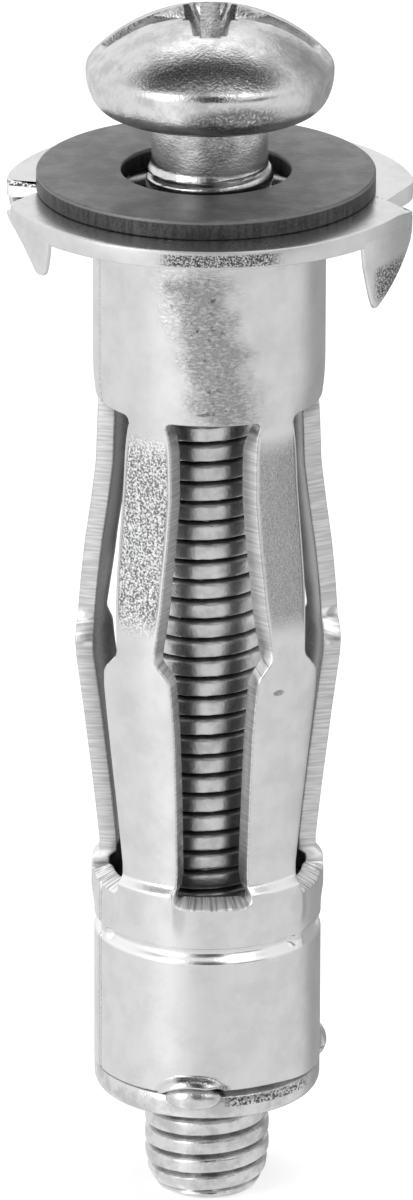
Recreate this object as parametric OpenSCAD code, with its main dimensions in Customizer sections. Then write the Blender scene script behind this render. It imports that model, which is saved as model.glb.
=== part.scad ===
// Hollow wall anchor: a sleeve rolled from one stamped strip, with the threaded
// nut crimped in its lower end, a loose flat washer and a pan head machine screw.
// Origin at the centre of the flange's underside, where the wall face lies. +Z up.

/* [Screw] */
// Major diameter of the screw thread
thread_d = 4.9; // [4.7:0.05:5]
// Pitch of the thread
thread_pitch = 0.8; // [0.7:0.05:0.9]
// Diameter of the smooth shank under the head
shank_d = 4.46; // [4.3:0.02:4.6]
// Length of the smooth shank under the head
shank_len = 2.5; // [1.5:0.1:4]
// Length of the screw under its head
screw_len = 44.4; // [40:0.2:50]
// Gap left between the head and the washer
head_gap = 2.6; // [1:0.1:5]
// Diameter of the head
head_d = 9.5; // [8.6:0.1:9.8]
// Diameter of the flat under the head
head_seat_d = 7.9; // [6.8:0.1:8.2]
// Height of the head
head_h = 3.85; // [3.4:0.05:4.2]
// Height of the head's rim above its seat
head_rim_h = 1.65; // [1.4:0.05:1.9]
// Width of the straight slot across the head
slot_w = 1.1; // [0.8:0.05:1.3]
// Depth of the straight slot below the crown
slot_depth = 1.6; // [1.2:0.05:2]
// Span of the cross recess at the crown
recess_span = 5; // [4:0.1:5.4]
// Depth of the cross recess below the crown
recess_depth = 2.7; // [2:0.1:2.9]
// Width of the arms of the cross recess
recess_w = 1; // [0.8:0.05:1.3]
// Width of the square core of the cross recess
recess_core = 1.9; // [1.4:0.1:2.2]
// Length of the tapered lead at the screw's tip
tip_lead = 1.4; // [1:0.1:3]
// Diameter of the flat end at the tip
tip_d = 3.9; // [3.4:0.1:4.1]

/* [Washer] */
// Outer diameter of the washer
washer_d = 13; // [11.6:0.1:13.4]
// Hole through the washer
washer_hole = 6.5; // [5.4:0.1:7]
// Thickness of the washer
washer_t = 0.7; // [0.5:0.05:1]
// Sideways rest of the loose washer
washer_shift = 0.14; // [0:0.02:0.2]

/* [Sleeve sheet] */
// Thickness of the sheet the sleeve is stamped from
sheet_t = 0.7; // [0.6:0.02:0.76]
// Outer diameter of the neck under the flange
neck_d = 8.94; // [8.8:0.02:9.2]
// Outer diameter of the collar round the nut
collar_d = 8.86; // [8.8:0.02:9.2]
// Length of the sleeve below the flange
sleeve_len = 35.05; // [34:0.2:38]
// Width of the seam where the rolled strip meets
seam_w = 0.12; // [0.08:0.02:0.24]

/* [Flange and claws] */
// Diameter of the flange
flange_d = 15.9; // [15.4:0.1:16.6]
// Inner radius of the bend between the neck and the flange
bend_r = 0.22; // [0.16:0.02:0.3]
// Thickness of the claws, thin blades that go on down from the flange's rim
claw_t = 0.3; // [0.22:0.02:0.4]
// Reach of the two long claws below the flange
long_claw = 2.55; // [2:0.05:3]
// Width of the two long claws
long_claw_w = 4; // [3.2:0.1:4]
// Reach of the two short claws below the flange
short_claw = 1.35; // [1.1:0.05:1.9]
// Width of the two short claws
short_claw_w = 2.7; // [2.2:0.1:3]
// Radius to the apex of the notches between the petals
notch_r = 6.75; // [6.7:0.05:7]

/* [Legs] */
// Number of legs
leg_count = 5; // [5:1:5]
// Depth of the window tops below the flange
window_top = 7.5; // [6.5:0.1:8.5]
// Depth of the window sills below the flange
window_sill = 27.6; // [27:0.1:28.2]
// Radius of the legs just under the neck
leg_root_r = 4.24; // [4.2:0.02:4.36]
// Radius where the straight runs of a leg would cross at the waist
waist_r = 5.25; // [5:0.05:5.5]
// Depth of the waist below the flange
waist_depth = 17.2; // [16:0.1:18]
// Radius that rounds the waist
waist_round = 15; // [8:1:20]
// Radius of the legs at their foot
leg_foot_r = 4.2; // [4.16:0.02:4.3]
// Width of a leg at its root
leg_root_w = 2.44; // [2.2:0.04:2.6]
// Width of a leg half way to the waist
leg_mid_w = 2.16; // [1.9:0.04:2.4]
// Width of a leg in the notch at its waist
leg_waist_w = 1.46; // [1.2:0.02:1.8]
// Width of a leg under the waist
leg_low_w = 3.04; // [2.7:0.04:3.2]
// Width of a leg at its foot
leg_foot_w = 2.36; // [2.1:0.04:2.6]
// Radius of the relief at a window's upper corners
relief_r = 0.3; // [0.2:0.02:0.4]
// Radius of the corners of the window sill
sill_round = 0.55; // [0.3:0.05:0.8]

/* [Collar and crimps] */
// Depth of the crimp line below the flange
crimp_depth = 29.15; // [29:0.05:29.6]
// Height of the crimp groove
crimp_h = 0.7; // [0.5:0.05:0.9]
// How far the crimps press the sheet inwards
crimp_in = 0.2; // [0.1:0.02:0.26]
// Angle that each of the three crimps spans
crimp_span = 113; // [100:1:116]
// Inward lean of the window sills
sill_lean = 0.36; // [0.1:0.02:0.44]
// Outward swell of the collar under each leg
shoulder_out = 0.1; // [0.04:0.02:0.16]

/* [Nut] */
// Height of the nut's base ring
ring_h = 1.1; // [0.8:0.05:1.4]
// Radius of the rounded lower edge of the base ring
ring_round = 0.5; // [0.2:0.05:0.6]
// Length of the nut's body inside the collar
nut_len = 7.3; // [6.8:0.1:7.4]
// Radius of the three locking lugs
lug_r = 0.56; // [0.45:0.02:0.62]
// Sheet left over each lug
lid_t = 0.36; // [0.24:0.02:0.44]

/* [Clearances] */
// Radial clearance between the screw and the nut's thread
thread_fit = 0.05; // [0.03:0.01:0.08]
// Radial clearance between the nut and the collar
nut_fit = 0.03; // [0.02:0.01:0.06]
// Clearance between a lug and its lid
lid_fit = 0.04; // [0.02:0.01:0.08]
// Clearance above and below the crimp in the nut's groove
crimp_fit = 0.06; // [0.04:0.01:0.1]

/* [Hidden] */
$fn = 96;
eps = 0.02;

front_window = 272;                        // azimuth of the window facing the front
seam_az = front_window - 360 / leg_count;  // the seam runs down the next window
leg_pitch = 360 / leg_count;
crimp_az = [264, 24, 144];                 // middles of the three crimps and lugs
neck_r = neck_d / 2;
collar_r = collar_d / 2;
collar_bore = collar_r - sheet_t;
nut_r = collar_bore - nut_fit;
lug_ring = collar_r - 0.1;                 // radius that the lugs are centred on
lug_half_angle = 13;
lid_margin = 5;                            // how far a lid's swell runs on past its lug, in degrees
lid_play = 0.6;                            // angle left free at either end of a lug
lid_sink = 0.3;                            // how far inside the lugs the lids' swell is centred
thread_r = thread_d / 2;
thread_depth = thread_pitch * 0.6134;      // depth of the external ISO profile
root_r = thread_r - thread_depth;
seat_z = sheet_t + washer_t + head_gap;    // underside of the head
tip_z = seat_z - screw_len;
thread_top = seat_z - shank_len;

// Azimuths of the claws: the strip's two halves are alike, half a turn apart
long_claw_az = [332, 152];
short_claw_az = [210, 30];
// Blade outlines as fractions of the half width and of the reach, from one end round
long_blade = [[-0.94, -0.35], [-0.74, -0.94], [-0.66, -1], [-0.56, -0.98], [0, -0.7],
              [0.55, -0.44], [0.88, -0.27], [1, -0.1]];
short_blade = [[-0.93, -0.08], [-0.35, -0.37], [0.13, -0.74], [0.35, -0.94], [0.52, -1],
               [0.7, -0.98], [0.84, -0.85], [0.95, -0.35]];
// Azimuth and half width of each notch's apex, then the headings of its two edges
notches = [[342.3, 0.08, 62.8, 8], [180.5, 0.6, 232, 167.5]];
bend_outer = bend_r + sheet_t;
rim_share = 0.8;                           // share of the head's rim height that is rounded
edge_break = 0.1;                          // small chamfer on turned edges

// Point at a radius and an azimuth
function polar(r, az) = [r * cos(az), r * sin(az)];

// Arc of a given radius that rounds the corner b of the path a-b-c, in n steps
function round_corner(a, b, c, r, n) =
    let (u = (a - b) / norm(a - b), v = (c - b) / norm(c - b),
         half = acos(max(-1, min(1, u * v))) / 2,
         reach = min(r / tan(half), 0.45 * norm(a - b), 0.45 * norm(c - b)),
         radius = reach * tan(half),
         mid = b + (u + v) / norm(u + v) * radius / sin(half),
         from = b + u * reach - mid, to = b + v * reach - mid,
         start = atan2(from[1], from[0]),
         turn = atan2(from[0] * to[1] - from[1] * to[0], from * to))
    [for (i = [0:n]) mid + radius * [cos(start + turn * i / n), sin(start + turn * i / n)]];

// Depths at which the legs' straight runs start and end
root_depth = window_top + 0.8;
foot_depth = window_sill - 1.25;
foot_step = 0.55;                          // height over which a foot steps out to the shoulder
skirt_run = 0.9;                           // how far the shoulder goes on below the sills

// Outer radius of a leg at a depth below the flange: two straight runs to the waist
function leg_r(depth) = depth < waist_depth
    ? leg_root_r + (waist_r - leg_root_r) * (depth - root_depth) / (waist_depth - root_depth)
    : leg_foot_r + (waist_r - leg_foot_r) * (foot_depth - depth) / (foot_depth - waist_depth);

// Outer side of the neck and legs as radius and height, from the flange down
shoulder_r = collar_r + shoulder_out;
skirt_z = -window_sill - skirt_run;        // where the leg's foot has merged in the collar
leg_side = concat(
    [[neck_r, -bend_r], [neck_r, -window_top + 0.25]],
    [[leg_root_r, -root_depth]],
    round_corner([leg_root_r, -root_depth], [waist_r, -waist_depth],
                 [leg_foot_r, -foot_depth], waist_round, 6),
    [[leg_foot_r, -foot_depth], [shoulder_r, -foot_depth - foot_step], [shoulder_r, skirt_z]]
);

// Half angle of the window beside a leg of this width at this depth
function window_half(w, depth) = leg_pitch / 2 - w / 2 / leg_r(depth) * 180 / PI;

// One side of a window as half angle and height, from the top edge down to the sill
notch_depth = waist_depth - 0.5;
step_depth = waist_depth + 0.9;
relief_depth = window_top + 2 * relief_r;
relief_mid = window_half(leg_root_w, root_depth);
relief_swell = relief_r / leg_root_r * 180 / PI;
sill_half = window_half(leg_foot_w, foot_depth);
sill_drop = sill_round / leg_foot_r * 180 / PI;
window_side = concat(
    [for (a = [90:-22.5:-67.5])
        [relief_mid + relief_swell * cos(a), -window_top - relief_r + relief_r * sin(a)]],
    [[relief_mid, -relief_depth - 0.1]],
    [for (i = [1:3]) let (d = root_depth + (notch_depth - root_depth) * i / 5,
                          w = leg_root_w + (leg_mid_w - leg_root_w) * pow(i / 3, 1.5))
        [window_half(w, d), -d]],
    [[window_half(leg_waist_w + 0.06, notch_depth - 0.45), -notch_depth + 0.45]],
    [[window_half(leg_waist_w, notch_depth), -notch_depth]],
    [for (i = [1:4]) let (d = notch_depth + (step_depth - notch_depth) * i / 4,
                          w = leg_waist_w + (leg_low_w - leg_waist_w) * (1 - cos(45 * i)) / 2)
        [window_half(w, d), -d]],
    [[sill_half, -window_sill + sill_round + 0.4]],
    [for (a = [0:-22.5:-90])
        [sill_half - sill_drop + sill_drop * cos(a), -window_sill + sill_round + sill_round * sin(a)]]
);

// Wedge shaped cutter for one window, narrow at the axis so that the edges are radial
module window_cutter() {
    inner = 2.6;
    outer = waist_r + 1;
    outline = concat(
        [for (p = window_side) [inner * tan(p[0]), p[1]]],
        [for (i = [len(window_side) - 1:-1:0])
            [-inner * tan(window_side[i][0]), window_side[i][1]]]
    );
    rotate([90, 0, 0])
        translate([0, 0, inner])
            linear_extrude(height = outer - inner, scale = [outer / inner, 1], slices = 1)
                polygon(outline);
}

// Shell of revolution between the neck and the feet of the legs, before its windows
module leg_shell() {
    inner_side = [for (i = [len(leg_side) - 1:-1:0]) [leg_side[i][0] - sheet_t, leg_side[i][1]]];
    rotate_extrude() polygon(concat(leg_side, inner_side));
}

// Collar round the nut: straight wall with its upper edge leaning in at the sills
module collar() {
    lean_z = -window_sill - skirt_run + 0.15;
    inner_drop = sill_lean / 3;
    outer_side = [[collar_r, -sleeve_len], [collar_r, lean_z], [collar_r - sill_lean, -window_sill]];
    inner_side = [[collar_bore - sill_lean, -window_sill - inner_drop],
                  [collar_bore, lean_z - inner_drop], [collar_bore, -sleeve_len]];
    rotate_extrude() polygon(concat(outer_side, inner_side));
}

// Flat outline of the flange outside the neck's bend
module flange_outline() {
    difference() {
        circle(d = flange_d);
        circle(r = neck_r + bend_r - eps);
    }
}

// Cutter through the flange and the top of the neck's bend
module through_flange() {
    margin = 0.1;
    translate([0, 0, -bend_r - margin])
        linear_extrude(height = sheet_t + bend_r + 2 * margin) children();
}

// Notches between the petals, each a V that opens outwards
module notch_cutters() {
    for (n = notches) {
        apex = polar(notch_r, n[0]);
        side = n[1] * [-sin(n[0]), cos(n[0])];
        through_flange() polygon([
            apex - side, apex + side,
            apex + side + polar(flange_d / 2, n[2]),
            apex - side + polar(flange_d / 2, n[3])
        ]);
    }
}

// Seam of the rolled strip, down the neck and the collar, and out to the last notch
module seam_cutter() {
    slit_start = neck_r - sheet_t - 1;
    slit_end = notch_r + 0.1;
    notch_az = notches[1][0];
    rotate(seam_az)
        translate([slit_start, -seam_w / 2, -sleeve_len - 1])
            cube([neck_r + bend_outer - slit_start, seam_w, sleeve_len + 1 - eps]);
    through_flange() polygon([
        polar(slit_start, seam_az - slit_half(slit_start)),
        polar(slit_start, seam_az + slit_half(slit_start)),
        polar(slit_end, notch_az + slit_half(slit_end)),
        polar(slit_end, notch_az - slit_half(slit_end))
    ]);
}

// Half angle that the seam's width spans at a radius
function slit_half(r) = seam_w / 2 / r * 180 / PI;

// Bend where the neck turns out into the flange, flaring the bore's mouth
module neck_bend() {
    rotate_extrude()
        translate([neck_r + bend_r, -bend_r])
            difference() {
                intersection() {
                    circle(r = bend_outer);
                    translate([-bend_outer, 0]) square(bend_outer);
                }
                circle(r = bend_r);
            }
}

// One claw: a blade with the rim's own curve, cut to a point below the flange
module claw(az, half_w, reach, blade) {
    intersection() {
        translate([0, 0, -reach])
            difference() {
                cylinder(r = flange_d / 2 - eps, h = reach + sheet_t / 2);
                translate([0, 0, -1]) cylinder(r = flange_d / 2 - claw_t, h = reach + sheet_t + 1);
            }
        rotate([90, 0, 90 + az])
            linear_extrude(height = flange_d)
                polygon(concat(
                    [[half_w, sheet_t], [-half_w, sheet_t]],
                    [for (p = blade) [p[0] * half_w, p[1] * reach]]
                ));
    }
}

// Ring section at the crimp line, pressed in from radius r by the depth of the crimp
module crimp_section(r) {
    polygon([
        [r, -crimp_depth - crimp_h / 2],
        [r, -crimp_depth + crimp_h / 2],
        [r - crimp_in, -crimp_depth + crimp_h / 4],
        [r - crimp_in, -crimp_depth - crimp_h / 4]
    ]);
}

module crimp_arcs(r) {
    for (az = crimp_az)
        rotate(az - crimp_span / 2)
            rotate_extrude(angle = crimp_span)
                crimp_section(r);
}

// Round bar curved along the collar's lower edge at each lug
module lug_bars(ring_r, bar_r, half_angle) {
    for (az = crimp_az)
        translate([0, 0, -sleeve_len])
            rotate(az - half_angle)
                rotate_extrude(angle = 2 * half_angle, $fn = 48)
                    translate([ring_r, 0]) circle(r = bar_r, $fn = 24);
}

module sleeve() {
    lid_r = lug_r + lid_fit + lid_t;
    color("gainsboro") difference() {
        union() {
            linear_extrude(height = sheet_t) flange_outline();
            neck_bend();
            for (az = long_claw_az) claw(az, long_claw_w / 2, long_claw, long_blade);
            for (az = short_claw_az) claw(az, short_claw_w / 2, short_claw, short_blade);
            difference() {
                leg_shell();
                for (i = [0:leg_count - 1])
                    rotate(front_window - 270 + i * leg_pitch) window_cutter();
            }
            collar();
            crimp_arcs(collar_bore + eps);
            // lids: the collar's edge swells out over each of the nut's lugs
            intersection() {
                lug_bars(lug_ring - lid_sink, lid_r, lug_half_angle + lid_margin);
                translate([0, 0, -sleeve_len])
                    difference() {
                        cylinder(r = collar_r + lid_r, h = 2 * lid_r);
                        translate([0, 0, -1]) cylinder(r = collar_r - sheet_t / 2, h = 2 * lid_r + 2);
                    }
            }
        }
        crimp_arcs(collar_r + eps);
        lug_bars(lug_ring, lug_r + lid_fit, lug_half_angle + lid_play);
        notch_cutters();
        seam_cutter();
    }
}

// Zigzag side of a thread as radius and height, from the top down, with a flat of a
// quarter pitch at its root and an eighth at its crest
function thread_side(crest, root, top, turns, pitch) =
    [for (i = [0:turns - 1]) each [
        [root, top - i * pitch],
        [root, top - (i + 0.125) * pitch],
        [crest, top - (i + 0.4375) * pitch],
        [crest, top - (i + 0.5625) * pitch],
        [root, top - (i + 0.875) * pitch]
    ]];

module nut() {
    base_z = -sleeve_len - ring_h;
    top_z = -sleeve_len + nut_len;
    chamfer = 0.35;
    run_in = 0.25;    // slope where the thread starts and ends
    thread_turns = floor((nut_len + ring_h) / thread_pitch) - 1;
    // the nut's ridges lie in the screw's grooves, one clearance away
    grooves_from_tip = ceil((top_z - chamfer - thread_top) / -thread_pitch);
    first_ridge = thread_top - grooves_from_tip * thread_pitch;
    bore_r = thread_r + thread_fit;
    ridge_r = root_r + thread_fit;
    ridges = thread_side(bore_r, ridge_r, first_ridge, thread_turns, thread_pitch);
    last_z = first_ridge - thread_turns * thread_pitch;
    bore_side = concat(
        [[bore_r + edge_break, top_z], [bore_r, top_z - edge_break], [bore_r, first_ridge + run_in]],
        ridges,
        [[ridge_r, last_z], [bore_r, last_z - run_in], [bore_r, base_z + edge_break],
         [bore_r + edge_break, base_z]]
    );
    ring_edge = round_corner([bore_r, base_z], [collar_r, base_z], [collar_r, -sleeve_len], ring_round, 5);
    groove_r = nut_r - crimp_in - nut_fit;
    outer_side = concat(
        ring_edge,
        [[collar_r, -sleeve_len], [nut_r, -sleeve_len],
         [nut_r, -crimp_depth - crimp_h / 2 - crimp_fit], [groove_r, -crimp_depth - crimp_h / 4 - crimp_fit],
         [groove_r, -crimp_depth + crimp_h / 4 + crimp_fit],
         [nut_r - sill_lean, -crimp_depth + crimp_h / 2 + crimp_fit],
         [nut_r - sill_lean - chamfer, top_z]]
    );
    color("silver") union() {
        rotate_extrude() polygon(concat(outer_side, bore_side));
        intersection() {
            lug_bars(lug_ring, lug_r, lug_half_angle);
            translate([0, 0, base_z])
                difference() {
                    cylinder(r = collar_r + lug_r, h = ring_h + lug_r + eps);
                    translate([0, 0, -1]) cylinder(r = nut_r - edge_break, h = ring_h + lug_r + 2);
                }
        }
    }
}

module washer() {
    color("dimgray")
        translate([-washer_shift, 0, sheet_t])
            difference() {
                cylinder(d = washer_d, h = washer_t);
                translate([0, 0, -1]) cylinder(d = washer_hole, h = washer_t + 2);
            }
}

// Head outline as radius and height above the seat: rounded rim under a domed crown
module head_profile() {
    rim_r = head_d / 2;
    crown_r = (rim_r * rim_r + pow(head_h - head_rim_h, 2)) / 2 / (head_h - head_rim_h);
    crown_angle = asin(rim_r / crown_r);
    polygon(concat(
        [[0, 0], [head_seat_d / 2, 0]],
        [for (a = [0:22.5:90])
            [head_seat_d / 2 + (rim_r - head_seat_d / 2) * sin(a), head_rim_h * rim_share * (1 - cos(a))]],
        [for (i = [0:7]) let (a = crown_angle * (1 - i / 8))
            [crown_r * sin(a), head_h - crown_r * (1 - cos(a))]],
        [[0, head_h]]
    ));
}

// Block with a centred top of one size and a smaller centred bottom
module tapered_cut(top, bottom, depth) {
    hull() {
        translate([-top[0] / 2, -top[1] / 2, 0]) cube([top[0], top[1], 1]);
        translate([-bottom[0] / 2, -bottom[1] / 2, -depth]) cube([bottom[0], bottom[1], eps]);
    }
}

// Cross recess: a square core with four arms, all narrowing to the bottom
module cross_recess() {
    floor_core = 0.6 * recess_core;
    tapered_cut([recess_core, recess_core], [floor_core, floor_core], recess_depth);
    for (a = [0, 90])
        rotate(a) tapered_cut([recess_span, recess_w], [1.4 * floor_core, 0.8 * recess_w], recess_depth);
}

module screw() {
    turns = floor((thread_top - tip_z - tip_lead) / thread_pitch);
    lead_z = thread_top - turns * thread_pitch;
    side = concat(
        [[shank_d / 2, seat_z + eps], [shank_d / 2, thread_top]],
        thread_side(thread_r, root_r, thread_top, turns, thread_pitch),
        [[root_r, lead_z], [(thread_r + root_r) / 2, lead_z - 0.4 * thread_pitch],
         [root_r, lead_z - 0.8 * thread_pitch], [tip_d / 2, lead_z - thread_pitch],
         [tip_d / 2, tip_z + edge_break], [tip_d / 2 - edge_break, tip_z]]
    );
    color("lightgray") union() {
        rotate_extrude() polygon(concat([[0, tip_z], [0, seat_z + eps]], side));
        translate([0, 0, seat_z])
            difference() {
                rotate_extrude() head_profile();
                translate([0, 0, head_h]) {
                    cross_recess();
                    translate([-head_d / 2 - 1, -slot_w / 2, -slot_depth])
                        cube([head_d + 2, slot_w, slot_depth + 1]);
                }
            }
    }
}

sleeve();
nut();
washer();
screw();
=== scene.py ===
import math

import bpy
import numpy as np
from mathutils import Matrix, Vector


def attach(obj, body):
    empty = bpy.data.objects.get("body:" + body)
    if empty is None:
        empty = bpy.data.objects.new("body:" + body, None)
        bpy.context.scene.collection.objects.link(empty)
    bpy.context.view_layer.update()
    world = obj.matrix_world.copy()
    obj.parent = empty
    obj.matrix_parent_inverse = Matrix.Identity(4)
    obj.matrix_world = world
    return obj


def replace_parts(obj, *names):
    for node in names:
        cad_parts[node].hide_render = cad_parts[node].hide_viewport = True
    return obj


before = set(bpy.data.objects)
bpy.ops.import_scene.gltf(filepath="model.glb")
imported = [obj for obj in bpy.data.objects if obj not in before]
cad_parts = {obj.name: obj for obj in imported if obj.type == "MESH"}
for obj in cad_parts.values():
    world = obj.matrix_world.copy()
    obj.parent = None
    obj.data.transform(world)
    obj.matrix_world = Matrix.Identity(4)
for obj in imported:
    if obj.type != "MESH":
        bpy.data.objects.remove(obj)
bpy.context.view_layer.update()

# Shapes are worked out in millimetres with z = 0 at the flange's underside, as in the CAD part
mm = 0.001
tau = 2 * math.pi


# smoothStep = 3t^2 - 2t^3 with t running from 0 at low to 1 at high
def smoothStep(low, high, value):
    t = np.clip((value - low) / (high - low), 0, 1)
    return t * t * (3 - 2 * t)


# softLine = straight lines through the points, averaged over +-blur with cosine weights
def softLine(x, xs, ys, blur):
    steps = np.linspace(-1, 1, 9)
    weights = 1 + np.cos(math.pi * steps)
    parts = [w * np.interp(x + blur * s, xs, ys) for s, w in zip(steps, weights)]
    return sum(parts) / weights.sum()


# unit = v / |v| along the last axis
def unit(v):
    return v / np.maximum(np.linalg.norm(v, axis=-1, keepdims=True), 1e-12)


# polarPoint = (r cos a, r sin a)
def polarPoint(r, degrees):
    a = np.radians(degrees)
    return np.array([r * np.cos(a), r * np.sin(a)])


# smoothPath: resamples an open path evenly, then averages over a short window; ends stay
def smoothPath(points, window, spacing=0.02):
    points = np.array(points, float)
    run = np.concatenate([[0], np.cumsum(np.linalg.norm(np.diff(points, axis=0), axis=1))])
    count = int(run[-1] / spacing)
    at = np.linspace(0, run[-1], count)
    even = np.stack([np.interp(at, run, points[:, k]) for k in range(2)], 1)
    half = max(1, int(window / spacing / 2))
    kernel = np.hanning(2 * half + 3)[1:-1]
    kernel /= kernel.sum()
    padded = np.concatenate([
        2 * even[0] - even[half:0:-1], even, 2 * even[-1] - even[-2:-half - 2:-1]])
    return np.stack([np.convolve(padded[:, k], kernel, "valid") for k in range(2)], 1)


# shiftPath = path moved to its left by the distance (inwards for a path that runs round ccw)
def shiftPath(path, distance):
    along = unit(np.gradient(path, axis=0))
    return path + distance * np.stack([-along[:, 1], along[:, 0]], 1)


# gridQuads: faces of a rows x cols block of vertex numbers
def gridQuads(numbers, wrap=False):
    if wrap:
        numbers = np.concatenate([numbers, numbers[:, :1]], 1)
    a, b = numbers[:-1, :-1], numbers[:-1, 1:]
    c, d = numbers[1:, 1:], numbers[1:, :-1]
    return np.stack([a, b, c, d], -1).reshape(-1, 4)


# meshObject: smooth mesh at the origin from points in millimetres, with point attributes
def meshObject(name, verts, faces, attributes=None, material=None):
    mesh = bpy.data.meshes.new(name)
    mesh.from_pydata((np.asarray(verts) * mm).tolist(), [], [list(f) for f in faces])
    for key, values in (attributes or {}).items():
        layer = mesh.attributes.new(key, "FLOAT", "POINT")
        layer.data.foreach_set("value", np.asarray(values, np.float32))
    mesh.update()
    obj = bpy.data.objects.new(name, mesh)
    bpy.context.scene.collection.objects.link(obj)
    mesh.shade_smooth()
    if material:
        mesh.materials.append(material)
    return obj


# closedSheet: joins the two faces of a sheet round all its free edges. Each edge bulges by a
# quarter round of radius outerRound on the outer face and innerRound on the inner one:
# outer + e r sin(a) - n r (1 - cos(a)), with n across the sheet and e = t x n out of its edge.
def closedSheet(outer, inner, quads, outerRound, innerRound):
    count = len(outer)
    edges = np.concatenate([quads[:, [k, (k + 1) % 4]] for k in range(4)])
    keys = np.sort(edges, 1)
    keys = keys[:, 0] * count + keys[:, 1]
    _, first, times = np.unique(keys, return_index=True, return_counts=True)
    free = edges[first[times == 1]]
    start, end = free[:, 0], free[:, 1]
    order = np.full(count, -1)
    order[start] = np.arange(len(start))
    before = np.empty(len(start), int)
    before[order[end]] = start
    across = unit(outer[start] - inner[start])
    along = unit(outer[end] - outer[before])
    out = unit(np.cross(along, across))
    angles = np.radians([30, 60, 90])
    rings = [outer[start] + out * outerRound * np.sin(a) - across * outerRound * (1 - np.cos(a))
             for a in angles]
    rings += [inner[start] + out * (outerRound - innerRound + innerRound * np.sin(a))
              + across * innerRound * (1 - np.cos(a)) for a in angles[::-1]]
    size = len(start)
    numbers = [start] + [2 * count + k * size + np.arange(size) for k in range(len(rings))]
    numbers += [start + count]
    walls = []
    following = order[end]
    for low, high in zip(numbers[:-1], numbers[1:]):
        walls.append(np.stack([low, high, high[following], low[following]], 1))
    verts = np.concatenate([outer, inner] + rings)
    faces = np.concatenate([quads, quads[:, ::-1] + count] + walls)
    return verts, faces


# turnedPoints = (r cos a, r sin a, z); onCylinder takes the angle in degrees
def turnedPoints(radius, angle, z):
    radius, angle, z = np.broadcast_arrays(radius, angle, z)
    return np.stack([radius * np.cos(angle), radius * np.sin(angle), z], -1)


def onCylinder(radius, degrees, z):
    return turnedPoints(radius, np.radians(degrees), z)


# capEnds: fans from two points on the axis to the first ring, at the top, and to the last
def capEnds(verts, faces, segments, topZ, bottomZ):
    count = len(verts)
    last = count - segments
    ahead = np.roll(np.arange(segments), -1).tolist()
    faces = faces + [[a, b, count] for a, b in enumerate(ahead)]
    faces += [[last + b, last + a, count + 1] for a, b in enumerate(ahead)]
    return np.concatenate([verts, [[0, 0, topZ], [0, 0, bottomZ]]]), faces


# revolve: closed turned body from a profile of (radius, height) that runs down its outside; it
# starts and ends on the axis, or meets itself where it is a ring
def revolve(profile, segments, ring=False):
    profile = np.array(profile, float)
    rows = profile if ring else profile[1:-1]
    angle = np.linspace(0, tau, segments, endpoint=False)
    verts = turnedPoints(rows[:, :1], angle, rows[:, 1:]).reshape(-1, 3)
    numbers = np.arange(len(verts)).reshape(-1, segments)
    if ring:
        numbers = np.concatenate([numbers, numbers[:1]])
    faces = gridQuads(numbers, True)[:, ::-1].tolist()
    if ring:
        return verts, faces
    return capEnds(verts, faces, segments, profile[0, 1], profile[-1, 1])


# joinShells: several closed shells as one mesh
def joinShells(shells):
    verts, faces, count = [], [], 0
    for shellVerts, shellFaces in shells:
        verts.append(np.asarray(shellVerts))
        faces += [[int(v) + count for v in face] for face in shellFaces]
        count += len(shellVerts)
    return np.concatenate(verts), faces


# roundedRing: section of a flat ring between two radii and two heights, corners rounded by r
def roundedRing(inner, outer, low, high, r, steps=4):
    corners = [(outer - r, high - r, 90), (outer - r, low + r, 0), (inner + r, low + r, -90),
               (inner + r, high - r, -180)]
    points = []
    for x, z, start in corners:
        for k in range(steps + 1):
            a = math.radians(start - 90 * k / steps)
            points.append((x + r * math.cos(a), z + r * math.sin(a)))
    return points


# newMaterial: empty tree with one principled surface on its output
def newMaterial(name):
    material = bpy.data.materials.new(name)
    material.use_nodes = True
    nodes = material.node_tree.nodes
    nodes.clear()
    output = nodes.new("ShaderNodeOutputMaterial")
    surface = nodes.new("ShaderNodeBsdfPrincipled")
    material.node_tree.links.new(surface.outputs[0], output.inputs["Surface"])
    return material, surface


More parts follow.
